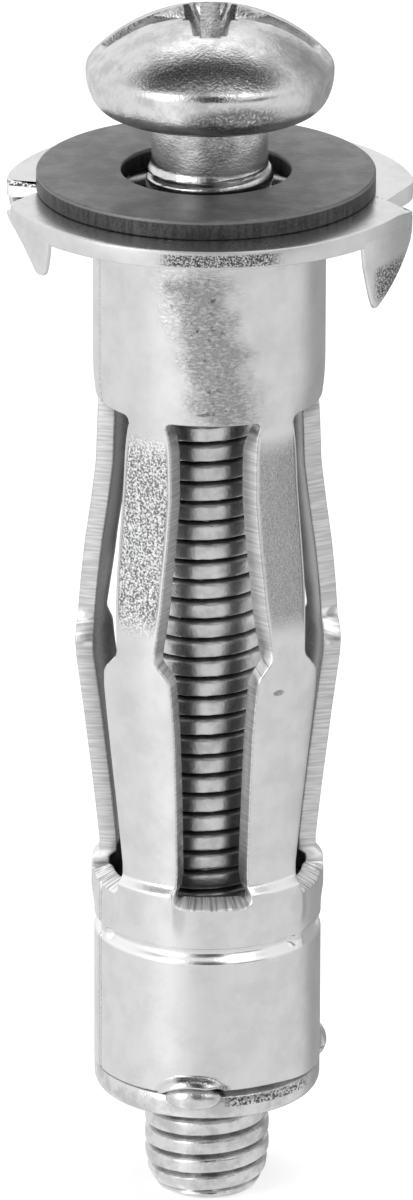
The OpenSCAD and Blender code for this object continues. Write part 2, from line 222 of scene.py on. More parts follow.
# Small set of node makers that share one tree
class NodeMaker:
    def __init__(self, material):
        self.tree = material.node_tree

    def link(self, source, target):
        self.tree.links.new(source, target)

    def fill(self, socket, value):
        if hasattr(value, "is_linked"):
            self.link(value, socket)
        else:
            socket.default_value = value

    def add(self, kind, inputs=None, **settings):
        node = self.tree.nodes.new(kind)
        for key, value in settings.items():
            setattr(node, key, value)
        for key, value in (inputs or {}).items():
            self.fill(node.inputs[key], value)
        return node

    def math(self, operation, a, b=0.0, clamp=False):
        return self.add("ShaderNodeMath", {0: a, 1: b}, operation=operation, use_clamp=clamp).outputs[0]

    # times and plus: product and sum of two or more values
    def times(self, total, *others):
        for value in others:
            total = self.math("MULTIPLY", total, value)
        return total

    def plus(self, total, *others):
        for value in others:
            total = self.math("ADD", total, value)
        return total

    # vector: one step of vector maths, such as scaling by a factor for each axis
    def vector(self, operation, a, b):
        return self.add("ShaderNodeVectorMath", {0: a, 1: b}, operation=operation).outputs[0]

    def length(self, vector):
        return self.add("ShaderNodeVectorMath", {0: vector}, operation="LENGTH").outputs["Value"]

    def attribute(self, name):
        return self.add("ShaderNodeAttribute", attribute_name=name).outputs["Fac"]

    # ramp = 0 below low and 1 above high
    def ramp(self, value, low, high):
        return self.add("ShaderNodeMapRange", {"Value": value, "From Min": low, "From Max": high},
                        interpolation_type="SMOOTHSTEP").outputs[0]

    # band = 1 where value lies between low and high, with soft ends
    def band(self, value, low, high, soft):
        down = self.add("ShaderNodeMapRange", {"Value": value, "From Min": high - soft,
                                               "From Max": high, "To Min": 1.0, "To Max": 0.0},
                        interpolation_type="SMOOTHSTEP").outputs[0]
        return self.times(self.ramp(value, low, low + soft), down)

    def noise(self, vector, scale, detail=2.0, roughness=0.5):
        return self.add("ShaderNodeTexNoise", {"Vector": vector, "Scale": scale, "Detail": detail,
                                               "Roughness": roughness}).outputs[0]

    def grey(self, tone):
        return (tone, tone, tone * 1.01, 1)

    def mixColour(self, factor, a, b):
        node = self.add("ShaderNodeMix", data_type="RGBA")
        for socket, value in zip((node.inputs[0], node.inputs[6], node.inputs[7]), (factor, a, b)):
            self.fill(socket, value)
        return node.outputs[2]

    def mixGrey(self, factor, low, high):
        return self.mixColour(factor, self.grey(low), self.grey(high))

    # cover: a colour with a grey tone laid over it where the mask is 1
    def cover(self, colour, mask, tone):
        return self.mixColour(mask, colour, self.grey(tone))


# Tones of the zinc, of its stretched and pitted places, and of its painted shade and painted highlights
zincTones = {"plain": 0.71, "neckMark": 0.40, "pit": 0.09, "cutLow": 0.52, "cutHigh": 0.74,
             "speckLow": 0.14, "speckHigh": 0.95, "calmLow": 0.34, "calmHigh": 0.56,
             "within": 0.27, "groove": 0.12, "darkPatch": 0.12, "paintedHighlight": 0.98}
# Where the sheet's marks lie: low end, high end and softness in millimetres
sheetBands = {
    "front": (-9.5, -0.5, 0.5), "legHeight": (-16.3, -7.9, 1.3), "legInside": (0.02, 9.0, 0.12),
    "leftLeg": (-20.0, 0.6, 1.0), "neckAcross": (-1.85, 1.85, 1.7), "neckHeight": (-8.1, -0.8, 1.2),
    "rimReach": (7.75, 99.0, 0.1), "rimAcross": (-2.2, 3.0, 0.9), "rimHeight": (0.05, 0.62, 0.1),
    "clawAcross": (6.1, 7.6, 0.4), "clawHeight": (-2.45, -0.8, 0.4),
    "sillWall": (-27.6, -26.4, 0.1), "waistWall": (-18.1, -16.5, 0.3),
    "sillEdge": (-26.85, -26.4, 0.1), "grooveEdge": (-29.62, -29.1, 0.15),
    "tornHeight": (0.46, 0.7, 0.06), "tornAcross": (-9.0, -5.0, 0.5)}
# Scale, detail and roughness of the sheet's noises
sheetNoises = {"pebble": (11.0, 2.0, 0.6), "grain": (15.0, 3.0, 0.65), "mottle": (0.8, 3.0, 0.55),
               "fine": (5.0, 4.0, 0.6), "wander": (1.1, 3.0, 0.6), "dents": (5.0, 3.0, 0.65),
               "holes": (3.4, 4.0, 0.7), "shear": (1.0, 2.0, 0.5), "rays": (1.0, 3.0, 0.5)}
# Dark patches: centre, half sizes and share, in millimetres; the first two, on the collar's front
# lid and in the shadow at its right, are painted shade
sheetDarkPatches = [((-0.45, -4.9, -34.35), (0.95, 0.8, 0.16), 0.85),
               ((0.55, -4.5, -34.75), (0.35, 0.6, 0.2), 0.8),
               ((-0.2, -4.45, -7.0), (0.28, 0.5, 0.06), 0.9),
               ((2.7, -4.3, -18.3), (0.2, 0.6, 0.12), 0.8)]
# painted shade and painted reflection: the dark zones on the head's front and on the shank under it
screwPaintedShade = [((1.1, -4.6, 4.75), (1.9, 1.2, 0.55), 0.9), ((0.1, -3.9, 6.35), (2.9, 1.1, 0.62), 0.5),
               ((0.35, -2.2, 3.0), (0.7, 0.9, 0.7), 0.6)]
darkPatchGrain = {"sheet": 0.25, "screw": 0.2}


# millimetres: object coordinates in millimetres, and their x, y and z
def millimetres(make):
    place = make.add("ShaderNodeTexCoord").outputs["Object"]
    inMm = make.add("ShaderNodeVectorMath", {0: place, "Scale": 1000.0}, operation="SCALE").outputs[0]
    split = make.add("ShaderNodeSeparateXYZ", {0: inMm})
    return inMm, split.outputs["X"], split.outputs["Y"], split.outputs["Z"]


# patch = 1 inside an ellipsoid round a point and 0 outside, with a soft edge
def patch(make, inMm, centre, halves, soft=0.35):
    away = make.vector("SUBTRACT", inMm, centre)
    away = make.vector("MULTIPLY", away, tuple(1 / h for h in halves))
    return make.ramp(make.length(away), 1.0 + soft, 1.0 - soft)


# addDarkPatches: dark patches, broken up by the grain above its level
def addDarkPatches(make, shade, inMm, grain, darkPatchList, level):
    for centre, halves, share in darkPatchList:
        darkPatch = make.times(patch(make, inMm, centre, halves), share, make.ramp(grain, level, 0.6))
        shade = make.cover(shade, darkPatch, zincTones["darkPatch"])
    return shade


# finishMaterial: metal of the given colour, roughness and bump
def finishMaterial(make, surface, shade, rough, bump, metallic=1.0):
    make.fill(surface.inputs["Base Color"], shade)
    make.fill(surface.inputs["Roughness"], rough)
    make.fill(surface.inputs["Normal"], bump.outputs[0])
    surface.inputs["Metallic"].default_value = metallic


# Bright zinc on pressed steel: faint mottling, a pebbled skin where the strip was stretched on
# the upper legs and in a slanted band down the neck's front, pits on the rim and on a claw,
# cut walls with shear lines across the sheet, painted highlights on the sills, waist, leg feet,
# groove lip and notch walls, and painted shade on the inner face and over the front lid
def zincSheet():
    material, surface = newMaterial("zincSheet")
    make = NodeMaker(material)
    tones = zincTones
    inMm, x, y, height = millimetres(make)
    inside, wall, within = [make.attribute(name) for name in ("edge", "wall", "within")]
    within = make.times(within, make.ramp(height, -0.6, -4.0))

    def zone(value, name):
        return make.band(value, *sheetBands[name])

    def noise(name, vector=inMm):
        return make.noise(vector, *sheetNoises[name])

    front = zone(y, "front")
    legZone = make.times(zone(height, "legHeight"), zone(inside, "legInside"))
    slant = make.plus(x, make.times(height, 0.23), 0.15, make.times(noise("wander"), 1.6))
    neckZone = make.times(zone(slant, "neckAcross"), zone(height, "neckHeight"), front)
    reach = make.length(make.vector("MULTIPLY", inMm, (1.0, 1.0, 0.0)))
    rimZone = make.times(zone(x, "rimAcross"), zone(height, "rimHeight"))
    clawZone = make.times(zone(x, "clawAcross"), zone(height, "clawHeight"))
    pitZone = make.times(make.plus(rimZone, clawZone), make.times(zone(reach, "rimReach"), front))

    pebble, grain, mottle = noise("pebble"), noise("grain"), noise("mottle")
    shear = noise("shear", make.vector("MULTIPLY", inMm, (0.7, 0.7, 11.0)))
    dents = noise("dents", make.vector("MULTIPLY", inMm, (1.0, 1.0, 2.2)))
    relief = make.plus(make.times(pebble, legZone), make.times(dents, neckZone, 1.3),
                       make.times(noise("fine"), 0.05))
    bump = make.add("ShaderNodeBump", {"Strength": 0.9, "Distance": 0.0001, "Height": relief})

    # skin, neck marks and leg specks
    shade = make.mixGrey(make.ramp(mottle, 0.35, 0.7), tones["plain"] * 1.04, tones["plain"] * 0.94)
    marks = make.math("MULTIPLY", neckZone, make.plus(make.ramp(dents, 0.62, 0.42), 0.35), True)
    shade = make.cover(shade, marks, tones["neckMark"])
    holes = make.times(make.ramp(noise("holes"), 0.6, 0.66), neckZone)
    shade = make.cover(shade, make.times(holes, 0.8), tones["pit"])
    speck = make.mixGrey(make.ramp(pebble, 0.40, 0.60), tones["speckLow"], tones["speckHigh"])
    calm = make.mixGrey(make.ramp(grain, 0.35, 0.65), tones["calmLow"], tones["calmHigh"])
    speck = make.mixColour(zone(x, "leftLeg"), calm, speck)
    shade = make.mixColour(make.times(legZone, 0.85), shade, speck)

    # cut walls: shear lines, and on the sills and at the waist a painted highlight broken into bright rays
    sheared = make.mixGrey(make.ramp(shear, 0.3, 0.7), tones["cutLow"], tones["cutHigh"])
    bright = make.math("MAXIMUM", zone(height, "sillWall"), zone(height, "waistWall"))
    turn = make.math("ARCTAN2", y, x)
    rays = noise("rays", make.add("ShaderNodeCombineXYZ", {0: make.times(turn, 34.0), 1: height}).outputs[0])
    sheared = make.mixColour(bright, sheared, make.mixGrey(make.ramp(rays, 0.36, 0.58), 0.5, 1.0))
    shade = make.mixColour(make.times(wall, make.ramp(height, 0.0, -1.0)), shade, sheared)
    # painted highlight: near-white bands along the step at the legs' feet and the crimp groove's lower lip
    paintedHighlight = make.math("MAXIMUM", zone(height, "sillEdge"), zone(height, "grooveEdge"))
    shade = make.cover(shade, make.times(paintedHighlight, 0.8), tones["paintedHighlight"])

    # walls of the flange's notches painted white as a painted highlight, torn along one top edge
    notch = make.times(wall, make.ramp(height, -0.1, 0.0), make.ramp(reach, 7.86, 7.8))
    shade = make.cover(shade, notch, 1.0)
    torn = make.times(zone(height, "tornHeight"), zone(x, "tornAcross"), make.ramp(pebble, 0.42, 0.5))
    shade = make.cover(shade, make.times(notch, torn), tones["pit"])

    # dark patches, with painted shade over the collar's front lid
    shade = addDarkPatches(make, shade, inMm, grain, sheetDarkPatches, darkPatchGrain["sheet"])
    shade = make.cover(shade, make.times(pitZone, make.ramp(grain, 0.42, 0.54)), tones["pit"])
    # painted shade: the inner face past the flange takes a dark tone
    shade = make.mixColour(within, shade, make.mixGrey(mottle, tones["within"] * 0.7, tones["within"] * 1.3))

    rough = make.plus(make.times(mottle, 0.12), 0.2, make.times(make.plus(neckZone, pitZone), 0.14),
                      make.times(make.plus(legZone, wall), 0.12))
    finishMaterial(make, surface, shade, rough, bump)
    return material


# Turned or rolled zinc: blotched, duller inside the sleeve, with painted shade where the attribute
# "groove" is high, weaker below the sleeve, a pitted strip where one is given as
# (x low, x high, z low, z high) and dark patches at given places
def zincTurned(name, tone, roughness, strip=None, darkPatchList=()):
    material, surface = newMaterial(name)
    make = NodeMaker(material)
    inMm, x, y, height = millimetres(make)
    grain = make.noise(inMm, 9.0, 3.0, 0.65)
    mottle = make.noise(inMm, 1.3, 3.0, 0.6)
    bump = make.add("ShaderNodeBump", {"Strength": 0.25, "Distance": 0.00006, "Height": grain})
    shade = make.mixGrey(make.ramp(mottle, 0.38, 0.66), tone * 1.05, tone * 0.8)
    # dark patches; those on the screw are painted shade and painted reflection
    shade = addDarkPatches(make, shade, inMm, grain, darkPatchList, darkPatchGrain["screw"])
    covered = make.band(height, -33.0, -4.0, 3.0)
    rough = make.plus(make.times(mottle, 0.2), roughness - 0.1, make.times(covered, 0.14))
    # painted shade in the thread's roots and the head's recess, weaker where the thread leaves the sleeve
    bared = make.times(make.ramp(height, -30.0, -34.0), 0.55)
    groove = make.times(make.attribute("groove"), make.math("SUBTRACT", 1.0, bared))
    shade = make.cover(shade, groove, zincTones["groove"])
    if strip:
        zone = make.times(make.band(x, *strip[:2], 0.3), make.band(height, *strip[2:], 0.08),
                          make.band(y, -9.0, 0.0, 0.5))
        shade = make.cover(shade, make.times(zone, make.ramp(grain, 0.44, 0.56)), zincTones["pit"])
    finishMaterial(make, surface, shade, rough, bump)
    return material


# Tones of the washer's oxide skin, with painted shade on its side and a painted highlight near the side's
# top
oxideTones = {"topLow": 0.14, "topHigh": 0.22, "mark": 0.08, "topGrain": 0.3, "sideLow": 0.035,
              "sideHigh": 0.075, "sideGrain": 0.15, "edgeHighlight": 0.34}


# Dark oxide skin: top face paler with blotches and rolling marks; side darker as painted shade,
# with a painted highlight just under its top edge
def darkOxide():
    material, surface = newMaterial("darkOxide")
    make = NodeMaker(material)
    inMm, *_, height = millimetres(make)
    tones, high = oxideTones, washer["high"]
    marks = make.noise(make.vector("MULTIPLY", inMm, (0.5, 2.2, 1.0)), 3.2, 5.0, 0.65)
    patches = make.noise(inMm, 0.9, 4.0, 0.6)
    grain = make.noise(inMm, 9.0, 3.0, 0.7)
    top = make.mixGrey(make.ramp(patches, 0.35, 0.68), tones["topLow"], tones["topHigh"])
    top = make.cover(top, make.times(make.ramp(marks, 0.58, 0.72), 0.45), tones["mark"])
    top = make.cover(top, make.times(make.ramp(grain, 0.5, 0.7), 0.3), tones["topGrain"])
    streaks = make.noise(make.vector("MULTIPLY", inMm, (4.0, 4.0, 0.5)), 1.5, 3.0)
    side = make.mixGrey(make.ramp(streaks, 0.3, 0.7), tones["sideLow"], tones["sideHigh"])
    side = make.cover(side, make.times(make.ramp(grain, 0.45, 0.65), 0.35), tones["sideGrain"])
    # painted highlight: a lighter band just under the side's top edge
    edgeHighlight = make.band(height, high - 0.17, high - 0.02, 0.05)
    side = make.cover(side, make.times(edgeHighlight, 0.6), tones["edgeHighlight"])
    bump = make.add("ShaderNodeBump", {"Strength": 0.3, "Distance": 0.00008, "Height": marks})
    # the side takes darker tones than the top as painted shade
    shade = make.mixColour(make.band(height, high - 0.07, 99.0, 0.05), side, top)
    finishMaterial(make, surface, shade, 0.42, bump, metallic=0.6)
    return material


# One sheet from the claws' tips over the flange, down the neck and legs to the collar's edge
sleeve = {
    "thickness": 0.7, "neckRadius": 4.47, "collarRadius": 4.43, "bend": 0.22,
    "flangeRadius": 7.93, "outerRound": 0.07, "innerRound": 0.06,
    "legCount": 5, "firstLeg": 236, "legPitch": 72, "legWidth": [1.04, 0.97, 1.0, 1.0, 1.0],
    "seamGap": 0.1, "seamRadius": 4.4, "rootRadius": 4.3, "footRadius": 4.5,
    "cornerDroop": 0.24, "droopCentre": (7.8, -2.1), "droopReach": 0.9, "wallLap": [0.27, 0.14],
    "lapDepth": [7.8, 8.6, 15.5, 17.2, 18.5, 26.0, 26.8], "lapShare": [0, 1, 1, 0.6, 0.4, 0.4, 0],
    "grooveTop": -28.88, "grooveBottom": -29.56, "grooveDepth": 0.25,
    "legColumns": 16, "windowColumns": 40, "flangeRows": 18,
    "windowTop": -7.5, "topCorner": 0.32, "legTop": -7.8,
    "sill": -27.29, "sillCorner": 0.5, "sillBevel": 0.33, "bevelDeep": 1.2, "legFoot": -26.8,
    "footBlend": (16.0, 23.0), "bottom": -34.98,
}
# Leg crown radius and half width against depth below the flange, and (from, to, count) of the
# rows of its mesh
legShape = {
    "depth": [7.4, 8.0, 10.5, 12.2, 13.8, 15.5, 17.0, 17.7, 18.4, 20.4, 22.1, 23.7, 25.3, 26.0,
              26.48, 26.76, 27.9, 28.7, 29.1],
    "radius": [4.40, 4.29, 4.37, 4.58, 4.81, 4.99, 5.12, 5.17, 5.12, 4.85, 4.65, 4.46, 4.29, 4.22,
               4.24, 4.53, 4.54, 4.42, 4.43],
    "widthDepth": [7.8, 8.0, 8.35, 9.0, 10.7, 12.5, 14.8, 16.2, 16.9, 17.1, 17.62, 17.8, 18.4,
                   20.0, 22.0, 24.0, 25.7, 26.3, 26.8],
    "halfWidth": [0.84, 0.92, 0.97, 1.03, 1.09, 1.08, 1.02, 0.90, 0.84, 0.90, 1.40, 1.50, 1.55,
                  1.54, 1.46, 1.36, 1.28, 1.25, 1.27],
    "rows": [(7.8, 8.7, 8), (8.7, 16.0, 26), (16.0, 18.8, 36), (18.8, 26.0, 22), (26.0, 26.8, 18)],
}


# flangeOutline: the flat flange's edge, once round from the slit at the left notch
def flangeOutline():
    r = sleeve["flangeRadius"]
    points = [(-5.84, 0.32), (-6.65, -0.68), (-7.25, -1.45), (-7.55, -1.85)]
    points += [polarPoint(r, a) for a in np.arange(197, 344, 4.0)]
    points += [(7.72, -2.1), (7.74, -1.93), (7.55, -1.9), (6.55, -2.05), (6.47, -2.02), (6.52, -1.9)]
    points += [(7.5, 0.0), (7.66, 0.3), (7.78, 0.7)]
    points += [polarPoint(r, a) for a in np.arange(10, 169, 4.0)]
    points += [(-7.79, 1.1), (-7.71, 0.79), (-7.5, 0.73), (-6.67, 0.55), (-5.84, 0.37)]
    return shiftPath(smoothPath(points, 0.2), sleeve["outerRound"])


# flangePlate = (x, y, height - droop), where the droop round the front corner is
# droop * exp(-(distance / reach)^2)
def flangePlate(flat, height):
    x, y = sleeve["droopCentre"]
    away = np.hypot(flat[..., 0] - x, flat[..., 1] - y)
    z = height - sleeve["cornerDroop"] * np.exp(-(away / sleeve["droopReach"]) ** 2)
    return np.concatenate([flat, z[..., None]], -1)


# fromNearest: degrees from the nearest of a row of headings, one for each pitch
def fromNearest(degrees, heading, pitch):
    return (degrees - heading + pitch / 2) % pitch - pitch / 2


# windowHalf: half a window's width round the sheet = half pitch * radius - half leg + rounding
def windowHalf(radius, legHalf):
    return sleeve["legPitch"] / 2 * math.pi / 180 * radius - legHalf + sleeve["outerRound"]


# stations: evenly spaced values in each (from, to, count) span, none twice
def stations(spans):
    return np.concatenate([[spans[0][0]]] + [np.linspace(*span)[1:] for span in spans])


# sleeveColumns: azimuth of each column on the neck and on the collar, from one side of the
# seam round to the other, place across its leg or window, and which columns are legs
def sleeveColumns():
    legCells, windowCells, pitch = sleeve["legColumns"], sleeve["windowColumns"], sleeve["legPitch"]
    spread = np.sin(np.linspace(-math.pi / 2, math.pi / 2, windowCells + 1))
    across = (0.35 * np.linspace(-1, 1, windowCells + 1) + 0.65 * spread)[:-1]
    legAcross = np.linspace(-1, 1, legCells + 1)[:-1]
    radiusTop = float(softLine(7.8, legShape["depth"], legShape["radius"], 0.3))
    radiusFoot = float(legRadius(-sleeve["legFoot"]))
    b = sleeve["outerRound"]

    def halfAngles(k):
        share = sleeve["legWidth"][k % sleeve["legCount"]]
        return [math.degrees((legShape["halfWidth"][end] * share - b) / radius)
                for end, radius in ((0, radiusTop), (-1, radiusFoot))]

    top, foot, u, legOf = [], [], [], []
    for k in range(sleeve["legCount"]):
        centre = sleeve["firstLeg"] + pitch * k
        for azimuths, half, halfNext in zip((top, foot), halfAngles(k), halfAngles(k + 1)):
            low, high = centre + half, centre + pitch - halfNext
            azimuths += [*(centre + legAcross * half), *(low + (high - low) * (across + 1) / 2)]
        u += [*legAcross, *across]
        legOf += [k] * legCells + [-1] * windowCells
    top, foot, u, legOf = [np.array(values) for values in (top, foot, u, legOf)]
    # start in the middle of the last window, where the seam is
    cut = len(top) - windowCells // 2
    order = np.concatenate([np.arange(cut, len(top)), np.arange(cut)])
    shift = np.concatenate([np.full(len(top) - cut, -360.0), np.zeros(cut)])
    top, foot = top[order] + shift, foot[order] + shift
    # close with a second column at the seam and pull both back by half the gap
    top, foot = np.append(top, top[0] + 360), np.append(foot, foot[0] + 360)
    u, legOf = np.append(u[order], 0.0), np.append(legOf[order], -1)
    half = math.degrees((sleeve["seamGap"] / 2 + b) / sleeve["seamRadius"])
    for azimuths in (top, foot):
        azimuths[0] += half
        azimuths[-1] -= half
    return top, foot, u, legOf


# quarterDrop = r - sqrt(r^2 - x^2): how far a rounded corner has fallen at x past its start
def quarterDrop(x, r):
    return r - np.sqrt(np.maximum(0, r * r - np.clip(x, 0, r) ** 2))


# upperPart: flange, bend and neck, as rows of outer and inner points from the rim down
def upperPart(top, u, legOf):
    t, bend, b = sleeve["thickness"], sleeve["bend"], sleeve["outerRound"]
    outline = flangeOutline()
    steps = np.linalg.norm(np.diff(outline, axis=0), axis=1)
    headings = np.unwrap(np.arctan2(outline[:, 1], outline[:, 0]))
    measure = 0.5 * steps / steps.sum() + 0.5 * np.diff(headings) / (headings[-1] - headings[0])
    run = np.concatenate([[0], np.cumsum(measure)])
    wanted = (top - top[0]) / (top[-1] - top[0])
    rim = np.stack([np.interp(wanted, run, outline[:, k]) for k in range(2)], 1)
    mouth = sleeve["neckRadius"] + bend
    start = polarPoint(mouth, top).T
    f = np.linspace(1, 0, sleeve["flangeRows"])[:, None, None]
    flat = start + (rim - start) * f
    outerRows, innerRows = [flangePlate(flat, 0.0)], [flangePlate(flat, t)]
    angle = np.radians(np.linspace(0, 90, 6)[1:])[:, None]
    for layer, rows in ((t, outerRows), (0.0, innerRows)):
        radius = bend + t - layer
        rows.append(onCylinder(mouth - radius * np.sin(angle), top[None, :], -bend + radius * np.cos(angle)))
    # neck, down to the windows' tops, whose corners are rounded
    half = windowHalf(sleeve["rootRadius"], legShape["halfWidth"][0])
    x = np.abs(u) * half
    corner = sleeve["topCorner"]
    windowEdge = sleeve["windowTop"] + b - quarterDrop(x - (half - corner), corner)
    lowest = np.where(legOf >= 0, sleeve["legTop"], windowEdge)
    g = np.linspace(0, 1, 15)[1:, None]
    z = -bend + (lowest[None, :] + bend) * g
    radius = neckRadius(z)
    outerRows.append(onCylinder(radius, top[None, :], z))
    innerRows.append(onCylinder(radius - t, top[None, :], z))
    return np.concatenate(outerRows), np.concatenate(innerRows)


# neckRadius: straight, then drawn in towards the roots of the legs
def neckRadius(z):
    return softLine(-z, [0, 6.3, 7.1, 8.0, 9.0], [4.47, 4.47, 4.42, 4.29, 4.29], 0.25)


# legRadius: the leg's profile, blurred widely at the waist and hardly at the foot's step
def legRadius(depth):
    waist = softLine(depth, legShape["depth"], legShape["radius"], 0.3)
    foot = softLine(depth, legShape["depth"], legShape["radius"], 0.06)
    share = smoothStep(25.6, 26.1, depth)
    return waist * (1 - share) + foot * share


# legRows: one leg between its root and foot, without its first and last rows
def legRows(k):
    depth = stations(legShape["rows"])[1:-1, None]
    radius = legRadius(depth)
    half = softLine(depth, legShape["widthDepth"], legShape["halfWidth"], 0.08)
    half = half * sleeve["legWidth"][k] - sleeve["outerRound"]
    across = np.linspace(-1, 1, sleeve["legColumns"] + 1)[None, :]
    degrees = sleeve["firstLeg"] + sleeve["legPitch"] * k + np.degrees(across * half / radius)
    outer = onCylinder(radius, degrees, -depth)
    # the cut walls lean into the windows by the lap, which fades out at both ends
    lap = np.interp(depth, sleeve["lapDepth"], sleeve["lapShare"])
    lap = lap * np.where(across > 0, sleeve["wallLap"][1], sleeve["wallLap"][0])
    innerR = radius - sleeve["thickness"]
    inner = onCylinder(innerR, degrees + np.degrees(across * lap / innerR), -depth)
    return outer, inner, (1 - np.abs(across)) * half


# Three crimp arcs and three lids over the nut's lugs: heading of the first, where an arc starts
# to fade and ends, a lid's sizes and height, and the gape to the right of one
crimp = {"heading": 264, "pitch": 120, "fadeFrom": 54.5, "fadeTo": 57.5}
lids = {"heading": 263, "centre": -35.12, "halfWidth": 1.42, "halfHeight": 0.9, "swell": 0.55,
        "riseHalf": 1.3, "rise": 0.44, "gape": 0.2, "gapeStart": (268, 277), "gapeEnd": (300, 338)}


# crimpDepth = how far the groove is pressed in at an azimuth and height: three arcs with ends
def crimpDepth(degrees, z):
    away = np.abs(fromNearest(degrees[None, :], crimp["heading"], crimp["pitch"]))
    inArc = 1 - smoothStep(crimp["fadeFrom"], crimp["fadeTo"], away)
    top, bottom = sleeve["grooveTop"], sleeve["grooveBottom"]
    groove = smoothStep(bottom - 0.02, bottom + 0.4, z) * (1 - smoothStep(top - 0.14, top, z))
    return sleeve["grooveDepth"] * inArc * groove * 1.1


# lidOffset = distance round the collar from the nearest lid's middle
def lidOffset(degrees):
    return fromNearest(degrees, lids["heading"], crimp["pitch"]) * math.pi / 180 * sleeve["collarRadius"]


# lidBump = swell * sqrt(1 - x^2 - y^2): how far the collar swells over a lug
def lidBump(degrees, z):
    x = lidOffset(degrees)[None, :] / lids["halfWidth"]
    y = (z - lids["centre"]) / lids["halfHeight"]
    return lids["swell"] * np.sqrt(np.maximum(0, 1 - x * x - y * y))


# lidRise = rise * (1 - x^2) + gape: how far the lower edge is lifted
def lidRise(degrees):
    turn = degrees % 360
    gape = lids["gape"] * smoothStep(*lids["gapeStart"], turn) * (1 - smoothStep(*lids["gapeEnd"], turn))
    return lids["rise"] * np.maximum(0, 1 - (lidOffset(degrees) / lids["riseHalf"]) ** 2) + gape


# lowerPart: window sills, crimp groove, lids and lower edge of the collar. The sills' cut
# face rises inwards by the bevel, which fades out further down and towards the legs
def lowerPart(foot, u, legOf):
    b, corner = sleeve["outerRound"], sleeve["sillCorner"]
    half = windowHalf(sleeve["footRadius"], legShape["halfWidth"][-1])
    x = np.abs(u) * half
    sillEdge = sleeve["sill"] - b + quarterDrop(x - (half - corner), corner)
    highest = np.where(legOf >= 0, sleeve["legFoot"], sillEdge)
    meet, lidTop = -28.5, -33.9
    upper = highest[None, :] + (meet - highest[None, :]) * np.linspace(0, 1, 11)[:, None]
    plain = stations([(meet, -28.86, 4), (-28.86, -29.6, 19), (-29.6, lidTop, 9)])[1:]
    lowest = sleeve["bottom"] + lidRise(foot)
    last = lidTop + (lowest[None, :] - lidTop) * np.linspace(0, 1, 13)[1:, None]
    z = np.concatenate([upper, np.repeat(plain[:, None], len(foot), 1), last])
    fromLeg = np.abs(fromNearest(foot, sleeve["firstLeg"], sleeve["legPitch"]))
    legness = 1 - smoothStep(*sleeve["footBlend"], fromLeg)[None, :]
    windowR = softLine(-z, [27.0, 27.5, 28.2, 29.0], [4.36, 4.40, 4.43, 4.43], 0.1)
    radius = legness * legRadius(-z) + (1 - legness) * windowR
    radius = radius - crimpDepth(foot, z) + lidBump(foot, z)
    bevel = np.where(legOf >= 0, 0.0, sleeve["sillBevel"] * smoothStep(0, 0.35, half - x))[None, :]
    zInner = z + bevel * np.clip(1 - (highest[None, :] - z) / sleeve["bevelDeep"], 0, 1)
    outer = onCylinder(radius, foot[None, :], z)
    return outer, onCylinder(radius - sleeve["thickness"], foot[None, :], zInner)


# Claws: sheet, two lower edges as (distance along the rim, height), and heading with its kind
claws = {
    "thickness": 0.2, "top": 0.29, "edge": 0.05, "proud": 0.004, "drawBack": 0.014, "rows": 12,
    "long": [(-2.1, 0.1), (-2.1, -0.09), (-1.99, -0.84), (-1.81, -1.48), (-1.69, -1.91),
             (-1.5, -2.4), (-1.36, -2.57), (-1.2, -2.52), (-0.62, -2.19), (0.55, -1.46),
             (1.09, -1.11), (1.75, -0.71), (2.0, -0.34), (2.08, 0.1)],
    "short": [(-2.4, 0.15), (-1.6, -0.04), (-1.25, -0.11), (-0.93, -0.26), (-0.47, -0.48),
              (0.17, -0.97), (0.45, -1.26), (0.68, -1.33), (0.93, -1.31), (1.1, -1.17),
              (1.2, -0.85), (1.28, -0.45), (1.34, 0.1)],
    "places": [(210.0, "short"), (332.6, "long"), (30.0, "short"), (152.6, "long")],
}


# clawShell: thin blade on the rim's cylinder between the claw's top, inside the flange, and its
# lower edge; above the underside it draws back into the plate
def clawShell(heading, kind):
    edge = claws["edge"]
    path = shiftPath(smoothPath(claws[kind], 0.1, 0.05), edge)
    low, r = path[:, 1], sleeve["flangeRadius"] + claws["proud"]
    rows = np.linspace(0, 1, claws["rows"])[:, None]
    z = claws["top"] + (low[None, :] - claws["top"]) * rows
    degrees = heading + np.degrees(path[:, 0] / r)[None, :]
    radius = r - claws["drawBack"] * smoothStep(0.04, 0.28, z)
    outer = onCylinder(radius, degrees, z).reshape(-1, 3)
    inner = onCylinder(radius - claws["thickness"], degrees, z).reshape(-1, 3)
    quads = gridQuads(np.arange(len(outer)).reshape(z.shape))[:, ::-1]
    return closedSheet(outer, inner, quads, edge, edge)


